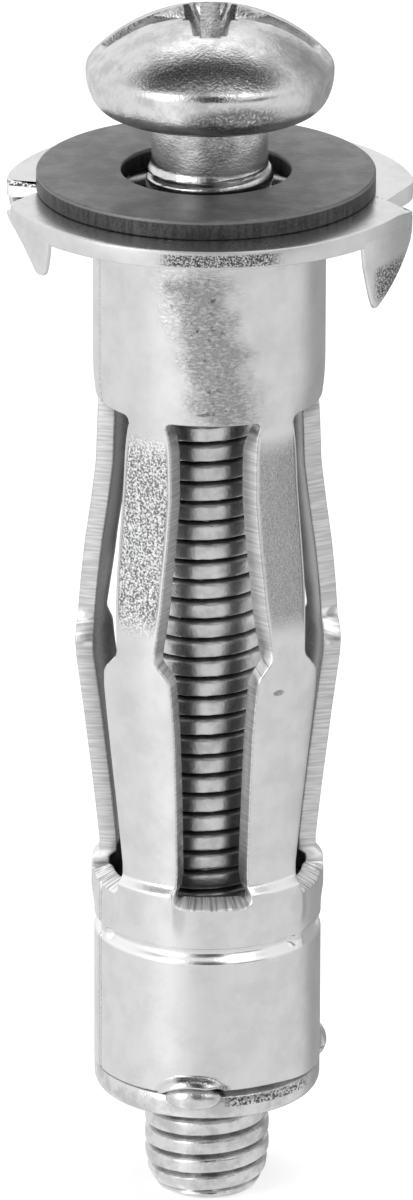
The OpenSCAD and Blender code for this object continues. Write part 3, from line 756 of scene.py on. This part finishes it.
# buildSleeve: upper part, lower part and legs share their border points in one sheet, which
# closedSheet rounds off; the claws are added as shells of their own
def buildSleeve(material):
    top, foot, u, legOf = sleeveColumns()
    sheets = [upperPart(top, u, legOf), lowerPart(foot, u, legOf)]
    columns, width, farInside = len(top), sleeve["legColumns"] + 1, 3.0
    above, below = [np.arange(out.shape[0] * columns).reshape(-1, columns) for out, _ in sheets]
    below += above.size
    count = above.size + below.size
    quads, edges = [gridQuads(above), gridQuads(below)], [np.full(count, farInside)]
    for k in range(sleeve["legCount"]):
        *leg, edge = legRows(k)
        numbers = count + np.arange(leg[0].shape[0] * width).reshape(-1, width)
        count += numbers.size
        first = int(np.argmax(legOf == k))
        own = slice(first, first + width)
        quads.append(gridQuads(np.concatenate([above[-1:, own], numbers, below[:1, own]])))
        edges.append(np.broadcast_to(edge, numbers.shape).reshape(-1))
        sheets.append(leg)
    outer, inner = [np.concatenate([sheet[side].reshape(-1, 3) for sheet in sheets]) for side in (0, 1)]
    quads = np.concatenate(quads)[:, ::-1]
    body = closedSheet(outer, inner, quads, sleeve["outerRound"], sleeve["innerRound"])
    shells = [body] + [clawShell(heading, kind) for heading, kind in claws["places"]]
    verts, faces = joinShells(shells)
    # edge: distance to the nearest cut edge of a leg; wall: 1 on the cut faces of the sheet;
    # within: 1 on the inner face past the flange, which the material darkens as painted shade
    edge, wall, within = np.full(len(verts), farInside), np.zeros(len(verts)), np.zeros(len(verts))
    edge[:len(outer)] = np.concatenate(edges)
    edge[len(outer):len(body[0])] = 0
    wall[2 * len(outer):len(body[0])] = 1
    within[len(outer) + columns * sleeve["flangeRows"]:2 * len(outer)] = 1
    marks = {"edge": edge, "wall": wall, "within": within}
    obj = meshObject("sleeveSheet", verts, faces, marks, material)
    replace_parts(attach(obj, "anchor"), "sleeve")


# Insert: radii, heights and the waist that the crimp grips; lugs as headings, place and halves
nut = {"bore": 2.52, "mouth": 0.12, "ring": 4.42, "body": 3.68, "neck": 3.32, "gripped": 3.5,
       "top": -27.78, "grip": [-28.6, -28.8, -29.6, -29.8], "seat": -35.09, "base": -36.15,
       "edge": 0.5, "lugs": [263, 23, 143], "lugPlace": (4.25, -35.14), "lugHalves": (0.62, 1.12, 0.52)}


# ball: closed ellipsoid of the given half axes, turned to a heading
def ball(centre, heading, halves, rows=14, segments=24):
    polar = np.linspace(0, math.pi, rows + 1)[1:-1]
    profile = [(0, 1)] + [(math.sin(a), math.cos(a)) for a in polar] + [(0, -1)]
    verts, faces = revolve(profile, segments)
    outward, sideways = polarPoint(1, heading), polarPoint(1, heading + 90)
    local = verts * np.array(halves)
    xy = local[:, :1] * outward + local[:, 1:2] * sideways
    return np.concatenate([xy + polarPoint(centre[0], heading), local[:, 2:] + centre[1]], 1), faces


# buildNut: ring turned from its profile, and a ball for each lug
def buildNut(material):
    r, e, bore, body = nut["ring"], nut["edge"], nut["bore"], nut["body"]
    top, seat, base, mouth = nut["top"], nut["seat"], nut["base"], nut["mouth"]
    neck, gripped, grip = nut["neck"], nut["gripped"], nut["grip"]
    arc = [(r - e + e * math.cos(a), base + e - e * math.sin(a))
           for a in np.linspace(0, math.pi / 2, 7)]
    profile = [(bore + mouth, top), (neck - 0.12, top), (neck, top - 0.1), (neck, grip[0]),
               (gripped, grip[1]), (gripped, grip[2]), (body, grip[3]), (body, seat),
               (r - 0.05, seat), (r, seat - 0.05), *arc, (bore + 0.15, base),
               (bore, base + 0.15), (bore, top - mouth)]
    shells = [revolve(profile, 160, ring=True)]
    shells += [ball(nut["lugPlace"], heading, nut["lugHalves"]) for heading in nut["lugs"]]
    obj = meshObject("nutInsert", *joinShells(shells), material=material)
    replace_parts(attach(obj, "anchor"), "nut")


washer = {"outer": 6.5, "hole": 3.25, "low": 0.702, "high": 1.47, "edge": 0.09, "shift": -0.14}


# buildWasher: flat ring with rounded corners, a little off the axis
def buildWasher(material):
    profile = roundedRing(washer["hole"], washer["outer"], washer["low"], washer["high"], washer["edge"])
    verts, faces = revolve(profile, 192, ring=True)
    verts[:, 0] += washer["shift"]
    obj = meshObject("washerRing", verts, faces, material=material)
    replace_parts(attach(obj, "anchor"), "washer")


# Thread from the crest line's phase, shank, head and its cuts
screw = {
    "pitch": 0.8, "crest": 2.44, "depth": 0.26, "belly": 0.08, "grooveFrom": 0.7, "phase": -0.28,
    "shank": 2.235, "threadTop": 1.7, "lift": 0.06, "seat": 4.0, "tip": -40.4,
    "segments": 60, "rowStep": 0.036, "fillet": [(4.45, 2.6), (4.02, 2.6), (3.92, 2.36), (3.75, 2.27)],
    "filletEnd": 3.5, "tipDepths": [-40.4, -40.15, -39.7, -38.9], "tipCrests": [1.95, 2.1, 2.32],
    "rimRadius": 4.75, "rimHeight": 1.5, "rimRound": 0.5, "crownStart": 43, "seatRadius": 3.95,
    "headHeight": 3.85, "slotWidth": 1.1, "slotDepth": 1.6, "armWidth": 0.8, "armSpan": 5.86,
    "coreWidth": 2.1, "recessDepth": 2.7, "recessShade": 0.85, "flareWidth": 2.4, "flareDepth": 1.1,
    "tickWidth": 0.16, "tickDepth": 0.1, "tickFrom": 2.15, "tickTo": 3.3,
    "tickHeadings": [221.7, 309.0, 41.7, 129.0], "edge": 0.05,
}


# threadRadius = crest - belly * away^4 - depth * v, where away runs from 0 on the helix's crest
# line to 1 in its root and v is a narrow groove; both fade at the two ends
def threadRadius(angle, z):
    turns = (z - screw["phase"]) / screw["pitch"] - angle / tau
    away = 2 * np.abs(turns - np.round(turns))
    groove = np.clip((away - screw["grooveFrom"]) / (0.97 - screw["grooveFrom"]), 0, 1)
    crest = np.interp(z, screw["tipDepths"], screw["tipCrests"] + [screw["crest"]])
    full = np.interp(z, [-40.4, -40.0, -39.0], [0.0, 0.5, 1.0])
    start = smoothStep(screw["threadTop"] + 0.15, screw["threadTop"] - 0.45, z)
    lift = screw["lift"] * np.exp(-((z - screw["threadTop"] + 0.2) / 0.16) ** 2)
    belly = np.interp(z, [-37.0, -35.5], [2.4, 1.0]) * screw["belly"]
    radius = crest - full * (belly * away ** 4 + screw["depth"] * groove)
    return radius * start + (screw["shank"] + lift) * (1 - start), groove * start


# buildThread: shank with its fillet and the threaded length, as rows of points from the head
# down; the attribute groove is the depth in the thread, squared, which the material paints as shade
def buildThread():
    tip, segments = screw["tip"], screw["segments"]
    filletZ, filletR = np.array(screw["fillet"] + [(screw["filletEnd"], screw["shank"])]).T
    levels = np.concatenate([
        filletZ, np.linspace(screw["filletEnd"], screw["threadTop"] + 0.3, 6)[1:],
        np.arange(screw["threadTop"] + 0.27, tip + 0.1, -screw["rowStep"]),
        [tip + 0.08, tip + 0.03, tip]])
    angle = np.linspace(0, tau, segments, endpoint=False)[None, :]
    z = np.repeat(levels[:, None], segments, 1)
    helix, groove = threadRadius(angle, z)
    radius = np.where(z > screw["filletEnd"], np.interp(-z, -filletZ, filletR), helix)
    radius[-2] -= 0.03
    radius[-1] -= 0.1
    verts = turnedPoints(radius, angle, z).reshape(-1, 3)
    faces = gridQuads(np.arange(len(verts)).reshape(-1, segments), True)[:, ::-1].tolist()
    verts, faces = capEnds(verts, faces, segments, levels[0], levels[-1])
    deep = groove ** 2 * np.interp(z, [-37.0, -35.5], [0.5, 1.0])
    return meshObject("threadPart", verts, faces, {"groove": np.append(deep, [0, 0])})


# crownSphere: radius (rim - b + b cos a) / cos a, so that it meets the rim's ball of radius b at
# the angle a, and the height of its centre
def crownSphere():
    rim, b, start = screw["rimRadius"], screw["rimRound"], math.radians(screw["crownStart"])
    crownR = (rim - b + b * math.cos(start)) / math.cos(start)
    return crownR, screw["seat"] + screw["headHeight"] - crownR


# headProfile: crown, rim's ball, then a quarter ellipse down to the flat seat
def headProfile():
    rim, b, seatR = screw["rimRadius"], screw["rimRound"], screw["seatRadius"]
    middle = screw["seat"] + screw["rimHeight"]
    start = math.radians(screw["crownStart"])
    crownR, centre = crownSphere()
    crown = np.linspace(math.pi / 2, start, 34)
    ballArc = np.linspace(start, 0, 9)[1:]
    under = np.linspace(0, math.pi / 2, 14)[1:]
    points = [(crownR * math.cos(a), centre + crownR * math.sin(a)) for a in crown[1:]]
    points += [(rim - b + b * math.cos(a), middle + b * math.sin(a)) for a in ballArc]
    points += [(seatR + (rim - seatR) * math.cos(a), middle - screw["rimHeight"] * math.sin(a))
               for a in under]
    return [(0, centre + crownR)] + points + [(2.2, screw["seat"]), (0, screw["seat"])]


# wedgeBlock: closed block with a top and a bottom rectangle
def wedgeBlock(name, topSize, bottomSize, zTop, zBottom, heading=0.0):
    corners = []
    for (length, width), z in ((bottomSize, zBottom), (topSize, zTop)):
        for sx, sy in ((-1, -1), (1, -1), (1, 1), (-1, 1)):
            corners.append((sx * length / 2, sy * width / 2, z))
    corners = np.array(corners)
    a = math.radians(heading)
    turnBlock = np.array([[math.cos(a), math.sin(a), 0], [-math.sin(a), math.cos(a), 0], [0, 0, 1]])
    faces = [[3, 2, 1, 0], [4, 5, 6, 7], [0, 1, 5, 4], [1, 2, 6, 5], [2, 3, 7, 6], [3, 0, 4, 7]]
    return meshObject(name, corners @ turnBlock, faces)


# tickBlock: radial wedge whose floor follows the crown at the tick's depth
def tickBlock(name, heading, crownR, centre):
    outward, sideways = polarPoint(1, heading), polarPoint(1, heading + 90)
    corners = []
    for r in (screw["tickFrom"], screw["tickTo"]):
        surface = centre + math.sqrt(crownR ** 2 - r ** 2)
        for side, z in ((-1, 0.3), (1, 0.3), (0.1, -screw["tickDepth"]), (-0.1, -screw["tickDepth"])):
            wide = screw["tickWidth"] * (2.0 if z > 0 else 1.0) * side
            corners.append((*(outward * r + sideways * wide), surface + z))
    faces = [[0, 1, 2, 3], [7, 6, 5, 4], [0, 4, 5, 1], [1, 5, 6, 2], [2, 6, 7, 3], [3, 7, 4, 0]]
    return meshObject(name, np.array(corners), [f[::-1] for f in faces])


# applyModifiers: the evaluated mesh takes the place of mesh and modifiers
def applyModifiers(obj):
    graph = bpy.context.evaluated_depsgraph_get()
    mesh = bpy.data.meshes.new_from_object(obj.evaluated_get(graph))
    obj.modifiers.clear()
    obj.data = mesh


# buildHead: turned head less the slot, the cross with its core and flares, and the ticks
def buildHead():
    verts, faces = revolve(headProfile(), 128)
    # faces go in reversed: the exact solver turns them outwards and the cut walls shade evenly
    inwards = [face[::-1] for face in faces]
    head = meshObject("headPart", verts, inwards, {"groove": np.zeros(len(verts))})
    crown = screw["seat"] + screw["headHeight"]
    span, wide, core, slot = [screw[key] for key in ("armSpan", "armWidth", "coreWidth", "slotWidth")]
    above, floor = crown + 0.5, crown - screw["recessDepth"]
    armTop, armLow = (span, wide * 1.1), (core * 0.85, wide * 0.75)
    flareTop, flareLow = (span * 0.96, screw["flareWidth"]), (span * 0.6, wide * 0.6)
    cutters = [
        wedgeBlock("cutSlot", (12, slot * 1.1), (12, slot * 0.95), above, crown - screw["slotDepth"]),
        wedgeBlock("cutCore", (core * 1.1, core * 1.1), (core * 0.6, core * 0.6), above, floor),
        wedgeBlock("cutArmA", armTop, armLow, above, floor + 0.05),
        wedgeBlock("cutArmB", armTop, armLow, above, floor + 0.02, 90)]
    cutters += [wedgeBlock("cutFlare" + str(turn), flareTop, flareLow, above,
                           crown - screw["flareDepth"], turn) for turn in (0.0, 90.0)]
    cutters += [tickBlock("cutTick" + str(k), heading, *crownSphere())
                for k, heading in enumerate(screw["tickHeadings"])]
    for cutter in cutters:
        cut = head.modifiers.new(cutter.name, "BOOLEAN")
        cut.operation, cut.object, cut.solver = "DIFFERENCE", cutter, "EXACT"
    applyModifiers(head)
    for cutter in cutters:
        bpy.data.objects.remove(cutter)
    soften = head.modifiers.new("edges", "BEVEL")
    soften.width, soften.segments = screw["edge"] * mm, 2
    soften.limit_method, soften.angle_limit = "ANGLE", math.radians(28)
    applyModifiers(head)
    # groove: painted shade in the recess, darker with its depth under the crown
    points = np.empty(len(head.data.vertices) * 3, np.float32)
    head.data.vertices.foreach_get("co", points)
    points = points.reshape(-1, 3) / mm
    crownR, centre = crownSphere()
    r, z = np.hypot(points[:, 0], points[:, 1]), points[:, 2]
    below = centre + np.sqrt(np.maximum(crownR ** 2 - r ** 2, 0)) - z
    onCrown = (r < 4.3) * (z > 5.0)
    dark = screw["recessShade"] * smoothStep(0.8, 1.5, below) * onCrown
    head.data.attributes["groove"].data.foreach_set("value", dark.astype(np.float32))
    return head


# buildScrew: thread and head joined as one object of two closed shells
def buildScrew(material):
    thread, head = buildThread(), buildHead()
    bpy.ops.object.select_all(action="DESELECT")
    thread.select_set(True)
    head.select_set(True)
    bpy.context.view_layer.objects.active = thread
    bpy.ops.object.join()
    thread.name = thread.data.name = "screwBody"
    thread.data.shade_smooth()
    thread.data.materials.clear()
    thread.data.materials.append(material)
    bpy.ops.object.shade_smooth_by_angle(angle=math.radians(40))
    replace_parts(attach(thread, "screw"), "screw")


# Panels: heading and elevation as seen from the object, distance, width, height, brightness;
# cards show only in reflections, like the dark lens side and the grey right wall of a tent
stage = {
    "floorZ": -40.42, "floorSize": 3000.0, "floorGlow": 0.48, "worldGlossy": 1.0, "worldFill": 0.5,
    "centre": (0, 0, -15),
    "lamps": {"keySoft": (222, 27, 450, 170, 420, 2.2),
              "rightSoft": (325, 55, 420, 260, 200, 1.5), "topSoft": (90, 82, 420, 380, 300, 0.9)},
    "cards": {"lensSide": (271, 32, 300, 170, 320, 0.03), "lowRight": (312, 10, 310, 190, 110, 0.15),
              "overhead": (270, 89, 260, 430, 140, 0.04), "rightWall": (0, 25, 260, 260, 300, 0.85),
              "backRight": (40, 15, 260, 220, 330, 0.4)},
    "floorPeak": 1.3,
    "floorTones": [(0, 0.87), (12, 0.8), (30, 0.45), (75, 0.4), (110, 0.9), (180, 0.98), (205, 1.0),
                   (222, 1.18), (234, 1.25), (247, 1.05), (262, 0.88), (272, 0.84), (286, 0.88),
                   (300, 0.92), (360, 0.87)],
}


# rectangle: flat panel round the origin at height z, as one face
def rectangle(name, width, length, z, material):
    x, y = width / 2, length / 2
    return meshObject(name, [(-x, -y, z), (x, -y, z), (x, y, z), (-x, y, z)], [[0, 1, 2, 3]],
                      material=material)


# buildFloor: pale floor that glows a little to the camera; mirror rays see its tones by heading
def buildFloor():
    material, surface = newMaterial("floorWhite")
    make = NodeMaker(material)
    paths = make.add("ShaderNodeLightPath")
    seen = make.math("MAXIMUM", paths.outputs["Is Camera Ray"], paths.outputs["Is Glossy Ray"])
    seen = make.math("MAXIMUM", seen, paths.outputs["Is Transmission Ray"])
    surface.inputs["Base Color"].default_value = (0.9, 0.9, 0.9, 1)
    surface.inputs["Roughness"].default_value = 0.9
    surface.inputs["Emission Color"].default_value = (1, 1, 1, 1)
    make.link(make.times(seen, stage["floorGlow"]), surface.inputs["Emission Strength"])
    spot = make.add("ShaderNodeSeparateXYZ", {0: make.add("ShaderNodeTexCoord").outputs["Object"]})
    turn = make.math("ARCTAN2", spot.outputs["Y"], spot.outputs["X"])
    turn = make.math("FRACT", make.math("DIVIDE", turn, tau))
    tones = make.add("ShaderNodeValToRGB", {0: turn})
    stops, peak = stage["floorTones"], stage["floorPeak"]
    ramp = tones.color_ramp
    while len(ramp.elements) < len(stops):
        ramp.elements.new(0.5)
    for element, (heading, tone) in zip(ramp.elements, stops):
        element.position = heading / 360
        element.color = (tone / peak, tone / peak, tone / peak, 1)
    mirrored = make.add("ShaderNodeEmission", {"Color": tones.outputs[0], "Strength": peak})
    output = material.node_tree.nodes["Material Output"]
    both = make.add("ShaderNodeMixShader", {0: paths.outputs["Is Glossy Ray"], 1: surface.outputs[0],
                                            2: mirrored.outputs[0]})
    make.link(both.outputs[0], output.inputs["Surface"])
    floor = rectangle("floorPlane", stage["floorSize"], stage["floorSize"], stage["floorZ"], material)


# buildWorld: white to the camera and to mirrors, weaker as a fill light
def buildWorld():
    world = bpy.data.worlds.new("studio")
    bpy.context.scene.world = world
    world.use_nodes = True
    make = NodeMaker(world)
    background = world.node_tree.nodes["Background"]
    paths = make.add("ShaderNodeLightPath")
    seen = make.math("MAXIMUM", paths.outputs["Is Camera Ray"], paths.outputs["Is Transmission Ray"])
    extra = stage["worldGlossy"] - stage["worldFill"]
    bright = make.plus(make.times(paths.outputs["Is Glossy Ray"], extra), stage["worldFill"])
    make.link(make.math("MAXIMUM", seen, bright), background.inputs["Strength"])
    background.inputs["Color"].default_value = (1, 1, 1, 1)


# stand = centre + distance (cos e cos h, cos e sin h, sin e), with the panel's width level, its
# height along the elevation and its normal through the centre
def stand(heading, elevation, distance):
    h, e = math.radians(heading), math.radians(elevation)
    outward = Vector((math.cos(e) * math.cos(h), math.cos(e) * math.sin(h), math.sin(e)))
    place = (Vector(stage["centre"]) + outward * distance) * mm
    side = Vector((-math.sin(h), math.cos(h), 0))
    return place, Matrix((side, outward.cross(side), outward)).transposed()


# areaLight: soft panel; its power is brightness * pi * area
def areaLight(name, heading, elevation, distance, width, height, brightness):
    data = bpy.data.lights.new(name, "AREA")
    data.shape = "RECTANGLE"
    data.size, data.size_y = width * mm, height * mm
    data.energy = brightness * math.pi * data.size * data.size_y
    lamp = bpy.data.objects.new(name, data)
    bpy.context.scene.collection.objects.link(lamp)
    lamp.rotation_mode = "QUATERNION"
    lamp.location, turn = stand(heading, elevation, distance)
    lamp.rotation_quaternion = turn.to_quaternion()


# card: panel of an even tone that only shows in reflections
def card(name, heading, elevation, distance, width, height, tone):
    material, surface = newMaterial(name)
    surface.inputs["Base Color"].default_value = (0, 0, 0, 1)
    surface.inputs["Specular IOR Level"].default_value = 0
    surface.inputs["Emission Color"].default_value = (1, 1, 1, 1)
    surface.inputs["Emission Strength"].default_value = tone
    panel = rectangle(name, width, height, 0, material)
    place, turn = stand(heading, elevation, distance)
    panel.data.transform(Matrix.Translation(place) @ turn.to_4x4())
    panel.visible_camera = False
    panel.visible_diffuse = False
    panel.visible_shadow = False


# buildLights: every lamp and card that the stage lists
def buildLights():
    for name, panel in stage["lamps"].items():
        areaLight(name, *panel)
    for name, panel in stage["cards"].items():
        card(name, *panel)


# The camera's height, distance and lens come from the ellipses of flange and collar and
# from the thread's known pitch; the frame is 413 x 1200
camera = {"elevation": 20.073, "distance": 456.89, "aimX": -0.074, "aimZ": -16.096,
          "roll": 0.177, "focalPixels": 11800.6, "frameHeight": 1200.0, "sensor": 24.0}


# buildCamera: aim + distance * (0, -cos e, sin e), turned to the aim and rolled
def buildCamera():
    data = bpy.data.cameras.new("mainCamera")
    data.sensor_fit = "AUTO"
    data.sensor_width = camera["sensor"]
    data.lens = camera["focalPixels"] / camera["frameHeight"] * camera["sensor"]
    data.clip_start, data.clip_end = 0.01, 10
    obj = bpy.data.objects.new("mainCamera", data)
    bpy.context.scene.collection.objects.link(obj)
    e = math.radians(camera["elevation"])
    away = Vector((0, -math.cos(e), math.sin(e))) * camera["distance"]
    aim = Vector((camera["aimX"], 0, camera["aimZ"]))
    obj.location = (aim + away) * mm
    look = (-away).to_track_quat("-Z", "Y").to_matrix()
    rolled = look @ Matrix.Rotation(math.radians(camera["roll"]), 3, "Z")
    obj.rotation_euler = rolled.to_euler()
    bpy.context.scene.camera = obj


sheetZinc = zincSheet()
buildSleeve(sheetZinc)
print("sleeve built")
buildNut(zincTurned("zincNut", 0.7, 0.26, (0.6, 4.0, -35.55, -35.1)))
buildWasher(darkOxide())
print("nut and washer built")
buildScrew(zincTurned("zincScrew", 0.68, 0.2, darkPatchList=screwPaintedShade))
print("screw built")
buildFloor()
buildWorld()
buildLights()
buildCamera()
bpy.context.scene.view_settings.view_transform = "Standard"

print("scene ready")
